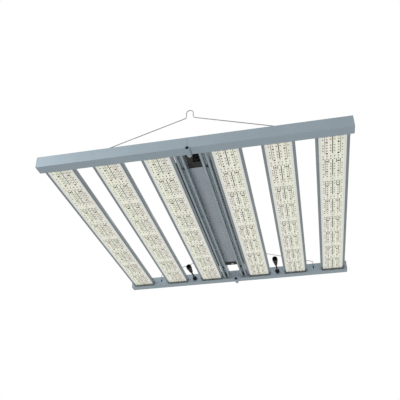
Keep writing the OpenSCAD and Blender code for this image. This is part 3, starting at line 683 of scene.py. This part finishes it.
def lead_cable(side):
    """The short cable between a gland and its connector."""
    curve = bpy.data.curves.new(f"cable_{side}", "CURVE")
    curve.dimensions = "3D"
    curve.bevel_depth = LEAD_DIAMETER / 2
    curve.bevel_resolution = 6
    curve.use_fill_caps = True
    spline = curve.splines.new("POLY")
    spline.points.add(len(LEAD_STATIONS) - 1)
    for point, station in zip(spline.points, LEAD_STATIONS):
        point.co = (SIDES[side] * LEAD_X, LEAD_START_Y - station * MM, LEAD_Z, 1)
    curve.materials.append(cable_rubber)
    cable = bpy.data.objects.new(f"cable_{side}", curve)
    bpy.context.scene.collection.objects.link(cable)
    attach(cable, f"{side}_half")
    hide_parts(f"lead_cable_{side}")


def along_lead(side, y, radius=0.0, angle=0.0):
    """A place y along a lead, out from its axis by radius, that looks to the front."""
    x = SIDES[side] * LEAD_X + radius * math.cos(angle)
    return facing((x, y, LEAD_Z + radius * math.sin(angle)), (0, -1, 0))


def in_mm(*points):
    """An outline whose radii and heights are given in millimetres."""
    return [(radius * MM, height * MM) for radius, height in points]


def boot_ribs(side):
    """The flexing ribs round a connector's boot, which widens away from the cable."""
    _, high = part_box(f"lead_connector_{side}")
    ribs = Shape()
    count, first, pitch = 6, 4, 3.2
    section = in_mm((-0.5, -0.8), (0.5, -0.5), (0.6, 0), (0.5, 0.5), (-0.5, 0.8))
    for k in range(count):
        back = (first + pitch * k) * MM
        radius = BOOT_NARROW + (BOOT_WIDE - BOOT_NARROW) * back / BOOT_LENGTH
        outline = [(radius + out, along) for out, along in section]
        ribs.lathe(outline, along_lead(side, high.y - back), 28)
    made = ribs.make(f"boot_ribs_{side}", lead_plastic, f"{side}_half")


def gland_grip(side):
    """The ridges round a gland's nut."""
    grip = Shape()
    ridges, nut_radius, back = 18, 9.2 * MM, 7 * MM
    outline = in_mm((0, 0), (0.5, 0.3), (0.6, 0.8), (0.6, 4.8), (0.4, 5.4), (0, 5.6))
    for k in range(ridges):
        angle = math.tau * (k + 0.5) / ridges
        place = along_lead(side, LEAD_START_Y + GLAND_LENGTH - back, nut_radius, angle)
        grip.lathe(outline, place, 8)
    made = grip.make(f"gland_grip_{side}", gland_plastic, f"{side}_half")


def lead_contacts(side):
    """The three sockets in a connector's face."""
    low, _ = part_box(f"lead_connector_{side}")
    contacts = Shape()
    outline = in_mm((0.65, -5.5), (0.65, 0.1), (1.1, 0.1), (1.1, -5.5))
    for k in range(3):
        place = along_lead(side, low.y, CONTACT_CIRCLE, math.radians(90 + 120 * k))
        contacts.lathe(outline, place, 14)
    made = contacts.make(f"lead_contacts_{side}", brass, f"{side}_half")


# ---- LED boards ----


class Chip:
    """One kind of LED package, and all of its copies on one bar: square frames and round lit faces."""

    TAPER = 0.93
    CUP_DEPTH = 0.2 * MM

    def __init__(self, name, size, frame_finish, face_finish):
        self.name = name
        self.half, self.cup, self.height, self.dome = size
        self.frame_finish, self.face_finish = frame_finish, face_finish
        self.frames, self.faces = Shape(), Shape()

    def add(self, x, y):
        """Stands one package on the board's face, opening downwards."""
        steps = 8
        low = BOARD_FACE - self.height
        narrow, bottom = self.half * self.TAPER, low + self.CUP_DEPTH
        square = ((-1, -1), (1, -1), (1, 1), (-1, 1))
        points = [(x + a * self.half, y + b * self.half, BOARD_FACE) for a, b in square]
        points += [(x + a * narrow, y + b * narrow, low) for a, b in square]
        angles = [math.tau * (k + 0.5) / steps for k in range(steps)]
        rim, floor = (
            [(x + radius * math.cos(a), y + radius * math.sin(a), z) for a in angles]
            for radius, z in ((self.cup, low), (self.cup * self.TAPER, bottom)))
        faces = [(k, 4 + k, 4 + (k + 1) % 4, (k + 1) % 4) for k in range(4)]
        # Corner k of the square faces the rim's points 2k + 3 to 2k + 5, counted round from its first point.
        for k in range(4):
            a, b, c = (8 + (2 * k + 3 + n) % steps for n in range(3))
            faces += [(4 + k, a, b), (4 + k, b, c), (4 + k, c, 4 + (k + 1) % 4)]
        self.frames.add(points + rim, faces)
        wall = [(k, (k + 1) % steps, steps + (k + 1) % steps, steps + k) for k in range(steps)]
        self.frames.add(rim + floor, wall)
        lit = [(k, (k + 1) % steps, steps) for k in range(steps)]
        self.faces.add(floor + [(x, y, bottom - self.dome)], lit, smooth=True)

    def make(self, number):
        body = f"{bar_side(number)}_half"
        made = self.frames.make(f"{self.name}_frames_{number}", self.frame_finish, body)
        self.faces.make(f"{self.name}_faces_{number}", self.face_finish, body)


# Half of an LED's frame, its cup's radius, its height, and how far its face bulges
WHITE_LED = (1.95 * MM, 1.6 * MM, 0.8 * MM, 0.05 * MM)
RED_LED = (2.85 * MM, 2.4 * MM, 0.9 * MM, 1.0 * MM)


def led_bar(number):
    """The LEDs of one bar's four boards.

    The columns nearer the middle of the light are warm white and deep red, and the others cool white and
    far red.
    """
    middle = bar_middle(number)
    inner = {"white": Chip("warm_led", WHITE_LED, warm_frame, warm_phosphor),
             "red": Chip("deep_red_led", RED_LED, deep_red_frame, deep_red_lens)}
    outer = {"white": Chip("cool_led", WHITE_LED, cool_frame, cool_phosphor),
             "red": Chip("far_red_led", RED_LED, far_red_frame, far_red_lens)}
    for board in range(BOARDS):
        for row in range(ROWS):
            colour, columns = ("red", RED_COLUMNS) if row in RED_ROWS else ("white", range(COLUMNS))
            for column in columns:
                x = column_x(middle, column)
                kinds = outer if abs(x) > abs(middle) else inner
                kinds[colour].add(x, row_y(board, row))
    for chip in (*inner.values(), *outer.values()):
        chip.make(number)


def board_tracks(number):
    """The dark track down the middle of each board, the brown ones beside it and the loops round the reds."""
    middle, side = bar_middle(number), bar_side(number)
    main, beside = Shape(), Shape()
    half = COLUMN_PITCH / 2
    for board in range(BOARDS):
        for first, last in LONG_ROWS:
            start, end = max(row_y(board, first), board_low.y + 2 * MM), row_y(board, last)
            for offset, width in TRACKS[side]:
                x = middle + offset * COLUMN_PITCH
                ribbon(beside if offset else main, [(x, start), (x, end)], width)
        for column in RED_COLUMNS:
            x = column_x(middle, column)
            for offset in (-half, half):
                ribbon(main, [(x + offset, row_y(board, row)) for row in SHORT_ROWS], SHORT_WIDTH)
            if board:
                ribbon(main, loop_line(board, x, half * 0.95), LOOP_WIDTH)
    main.make(f"board_tracks_{number}", track_olive, f"{side}_half")
    beside.make(f"board_side_tracks_{number}", track_brown, f"{side}_half")


def loop_line(board, x, half):
    """A U that starts at a board's first row and rounds off just past the third."""
    start, turn, bulge, steps = row_y(board, -0.1), row_y(board, 1.45), 11, 8
    line = [(x - half, start)]
    for k in range(steps + 1):
        a = math.pi * k / steps
        line.append((x - half * math.cos(a), turn + math.sin(a) * bulge * MM))
    return line + [(x + half, start)]


# ---- Screws ----

EARTH_HEAD = 1.8 * MM


def cross_head(radius, height):
    """A pan screw head with a cross recess, its seat at z = 0 and its top at z = height."""
    head = Shape()
    steps = 6
    rim = height * 0.65
    outline = [(0, 0), (radius, 0), (radius, rim * 0.85)]
    for k in range(1, steps + 1):
        a = math.pi / 2 * k / steps
        outline.append((radius * math.cos(a) if k < steps else 0, rim + (height - rim) * math.sin(a)))
    head.lathe(outline, Matrix.Identity(4), 28)
    solid = mesh_object("head", head)
    cutter = Shape()
    arm, wide, deep = radius * 0.55, radius * 0.14, height * 0.62
    for turn in (0, math.pi / 2):
        spin = Matrix.Rotation(turn, 4, "Z")
        points = []
        for z, share in ((height - deep, 0.55), (height + 1 * MM, 1.15)):
            for a, b in ((-1, -1), (1, -1), (1, 1), (-1, 1)):
                points.append(spin @ Vector((a * arm * share, b * wide, z)))
        walls = [(k, (k + 1) % 4, 4 + (k + 1) % 4, 4 + k) for k in range(4)]
        cutter.add(points, [(3, 2, 1, 0), (4, 5, 6, 7)] + walls)
    tool = mesh_object("cutter", cutter)
    cut = solid.modifiers.new("cut", "BOOLEAN")
    cut.operation = "DIFFERENCE"
    cut.solver = "EXACT"
    cut.use_self = True
    cut.object = tool
    made = bpy.data.meshes.new_from_object(solid.evaluated_get(bpy.context.evaluated_depsgraph_get()))
    for ob in (solid, tool):
        bpy.data.objects.remove(ob)
    return made


def mesh_object(name, shape):
    """A loose object for building with; it is removed before the scene is finished."""
    mesh = bpy.data.meshes.new(name)
    mesh.from_pydata(shape.points, [], shape.faces)
    mesh.polygons.foreach_set("use_smooth", shape.smooth)
    work = bmesh.new()
    work.from_mesh(mesh)
    bmesh.ops.recalc_face_normals(work, faces=work.faces)
    work.to_mesh(mesh)
    work.free()
    ob = bpy.data.objects.new(name, mesh)
    bpy.context.scene.collection.objects.link(ob)
    bpy.context.view_layer.update()
    return ob


def clusters(node):
    """(lowest corner, highest corner) of each loose part of a CAD node."""
    work = bmesh.new()
    work.from_mesh(nodes[node].data)
    bmesh.ops.remove_doubles(work, verts=work.verts, dist=0.01 * MM)
    found, seen = [], set()
    for vert in work.verts:
        if vert in seen:
            continue
        group, queue = [], [vert]
        seen.add(vert)
        while queue:
            v = queue.pop()
            group.append(v.co.copy())
            for edge in v.link_edges:
                other = edge.other_vert(v)
                if other not in seen:
                    seen.add(other)
                    queue.append(other)
        low = Vector([min(p[i] for p in group) for i in range(3)])
        high = Vector([max(p[i] for p in group) for i in range(3)])
        found.append((low, high))
    work.free()
    return found


def fit_screws(node, radius, height, shank, body, material, outward):
    """Replaces a node's plain screws with ones that have a proper head, seated where theirs were.

    outward(low, high) gives the direction that the head of the screw in that box looks in.
    """
    head = cross_head(radius, height)
    shape = Shape()
    for n, (low, high) in enumerate(clusters(node)):
        direction = Vector(outward(low, high))
        axis = max(range(3), key=lambda i: abs(direction[i]))
        seat = (low + high) / 2
        seat[axis] = (high[axis] if direction[axis] > 0 else low[axis]) - direction[axis] * height
        length = high[axis] - low[axis] - height
        put = facing(seat, direction, spin=n * 0.7)
        shape.copy_of(head, put)
        shape.lathe([(shank, 0), (shank, shank - length), (0, -length)], put, 12)
    made = shape.make(f"{node}_detailed", material, body)
    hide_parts(node)


def towards_bars(low, high):
    """Bracket screws face the middle of the light when they lie along Y, and up when they stand."""
    size = high - low
    if size.z > size.y:
        return (0, 0, 1)
    return (0, 1 if low.y < 0 else -1, 0)


def downwards(low, high):
    return (0, 0, -1)


def off_the_ends(low, high):
    """The driver's cap screws face away from the middle of the light."""
    return (0, -1 if low.y < 0 else 1, 0)


def fit_all_screws():
    for side in SIDES:
        body = f"{side}_half"
        fit_screws(f"board_screws_{side}", 3.0 * MM, 1.6 * MM, 1.25 * MM, body, steel_screw,
                   downwards)
        fit_screws(f"bracket_screws_{side}", 3.5 * MM, 2.2 * MM, 2 * MM, body, black_oxide,
                   towards_bars)
    fit_screws("driver_cap_screws", 3.5 * MM, 2.2 * MM, 1.5 * MM, "left_half", black_oxide,
               off_the_ends)
    fit_screws("driver_earth_screw", 3.2 * MM, EARTH_HEAD, 1.5 * MM, "left_half", bright_zinc,
               downwards)


def earth_washer():
    """The toothed washer under the driver's earth screw."""
    low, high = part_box("driver_earth_screw")
    centre = (low + high) / 2
    teeth, bore, reach, notch, thick = 12, 2.6 * MM, 5.4 * MM, 0.7 * MM, 0.7 * MM
    count = 4 * teeth
    points = []
    for z in (low.z + EARTH_HEAD, low.z + EARTH_HEAD - thick):
        rims = [bore] * count, [reach - (notch if k % 4 < 2 else 0) for k in range(count)]
        for rim in rims:
            for k, radius in enumerate(rim):
                a = math.tau * k / count
                points.append((centre.x + radius * math.cos(a), centre.y + radius * math.sin(a), z))
    faces = []
    for k in range(count):
        m = (k + 1) % count
        for a, b in ((0, 1), (1, 3), (3, 2), (2, 0)):
            faces.append((a * count + k, a * count + m, b * count + m, b * count + k))
    shape = Shape()
    shape.add(points, faces)
    shape.make("earth_washer", bright_zinc, "left_half")


def hinge_bushes():
    """The flanges of the hinges' black nylon bushes, round the bolts' heads."""
    shape = Shape()
    outline = in_mm((4.6, -0.5), (4.6, -1.2), (5.5, -1.2), (5.9, -0.9), (5.9, -0.5), (4.6, -0.5))
    for low, high in clusters("hinge_bolts"):
        centre = (low + high) / 2
        shape.lathe(outline, facing((centre.x, low.y, centre.z), (0, 1, 0)), 32)
    shape.make("hinge_bushes", inlet_plastic, "left_half")


# ---- Driver ----


def bay_shade_lining():
    """Painted shade: a matt black lining on the walls and floor of the connector bay in the driver's front
    cap, standing for the shade in that recess.
    """
    low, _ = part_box("driver_front_cap")
    thick = 0.4 * MM
    left, right = -10 * MM, 37 * MM
    bottom, top = low.z + 3 * MM, low.z + 40 * MM
    mouth, floor = low.y + 0.6 * MM, low.y + 8 * MM
    shape = Shape()
    shape.box((left, floor - thick, bottom), (right, floor, top))
    for x in (left, right - thick):
        shape.box((x, mouth, bottom), (x + thick, floor, top))
    for z in (bottom, top - thick):
        shape.box((left + thick, mouth, z), (right - thick, floor, z + thick))
    shape.make("bay_shade_lining", painted_shade_black, "left_half")


# ---- Hangers and floor ----


def slot_shade_pockets(side):
    """Painted shade: matt black pockets behind the hanger slots, standing for the shade inside the hollow
    beams.
    """
    shape = Shape()
    slot_x, wall, deep, half, thick = 375 * MM, 2 * MM, 9 * MM, 5.5 * MM, 0.8 * MM
    for end in ENDS:
        low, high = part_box(f"{end}_beam_{side}")
        outward = -1 if end == "front" else 1
        mouth = (high.y if end == "front" else low.y) + outward * (wall + 0.05 * MM)
        bottom, top = low.z + 13.5 * MM, low.z + 33 * MM
        x = SIDES[side] * slot_x
        near, far = sorted((mouth, mouth + outward * deep))
        back = sorted((mouth + outward * (deep - thick), mouth + outward * deep))
        shape.box((x - half, back[0], bottom), (x + half, back[1], top))
        for wall_x in (x - half, x + half - thick):
            shape.box((wall_x, near, bottom), (wall_x + thick, far, top))
        for z in (bottom, top - thick):
            shape.box((x - half, near, z), (x + half, far, z + thick))
    shape.make(f"slot_shade_pockets_{side}", painted_shade_black, f"{side}_half")


def hanger(end):
    """One wire hanger: up from the left foot's hook, in to the eye and down to the right foot."""
    low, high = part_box(f"{end}_hanger")
    wire, bend, eye, foot_reach = 1.5 * MM, 5 * MM, 12 * MM, 6 * MM
    bend_ball = wire + 0.05 * MM
    foot_x, foot_z = high.x - bend_ball, low.z + bend_ball
    if end == "front":
        plane_y, elbow_z = high.y - bend_ball, foot_z + 19 * MM
        hook_y = plane_y - foot_reach
    else:
        plane_y, elbow_z = low.y + bend_ball, foot_z + 26.5 * MM
        hook_y = plane_y + foot_reach
    eye_z = high.z - wire - eye
    # One half of the wire, from the foot to where the eye's arch starts
    half = [(foot_x, foot_z), (foot_x, elbow_z), (14.5 * MM, eye_z - 21.5 * MM), (eye, eye_z - 14.5 * MM),
            (eye, eye_z)]
    hook = [(-foot_x, hook_y, foot_z)]
    rise = rounded_path(hook + [(-x, plane_y, z) for x, z in half], bend)
    angles = [math.pi * (1 - k / 16) for k in range(17)]
    arch = [Vector((eye * math.cos(a), plane_y, eye_z + eye * math.sin(a))) for a in angles]
    fall = rounded_path([(x, plane_y, z) for x, z in reversed(half)], bend)
    shape = Shape()
    tube(shape, rise[:-1] + arch + fall[1:], wire, 14)
    made = shape.make(f"{end}_hanger_wire", wire_zinc, f"{end}_hanger")
    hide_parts(f"{end}_hanger")


def make_floor():
    """A wide pale floor, far below the hanging light."""
    reach, level = 30.0, -2.6
    corners = [(-reach, -reach, level), (reach, -reach, level), (reach, reach, level), (-reach, reach, level)]
    mesh = bpy.data.meshes.new("floor")
    mesh.from_pydata(corners, [], [(0, 1, 2, 3)])
    made = Finish("floor_paint")
    made.colour(made.blend(made.noise(1.5, 3), (0.84, 0.84, 0.83), (0.87, 0.87, 0.86)))
    made.roughness(made.spread(made.noise(5, 2), 0.6, 0.7))
    mesh.materials.append(made.material)
    ob = bpy.data.objects.new("floor", mesh)
    bpy.context.scene.collection.objects.link(ob)


# ---- Everything, in order ----

make_camera()
for side in SIDES:
    lead_cable(side)
make_room()
make_floor()
finish_nodes()
for side in SIDES:
    boot_ribs(side)
    gland_grip(side)
    lead_contacts(side)
    slot_shade_pockets(side)
for number in BARS:
    led_bar(number)
    board_tracks(number)
fit_all_screws()
earth_washer()
hinge_bushes()
bay_shade_lining()
for end in ENDS:
    hanger(end)
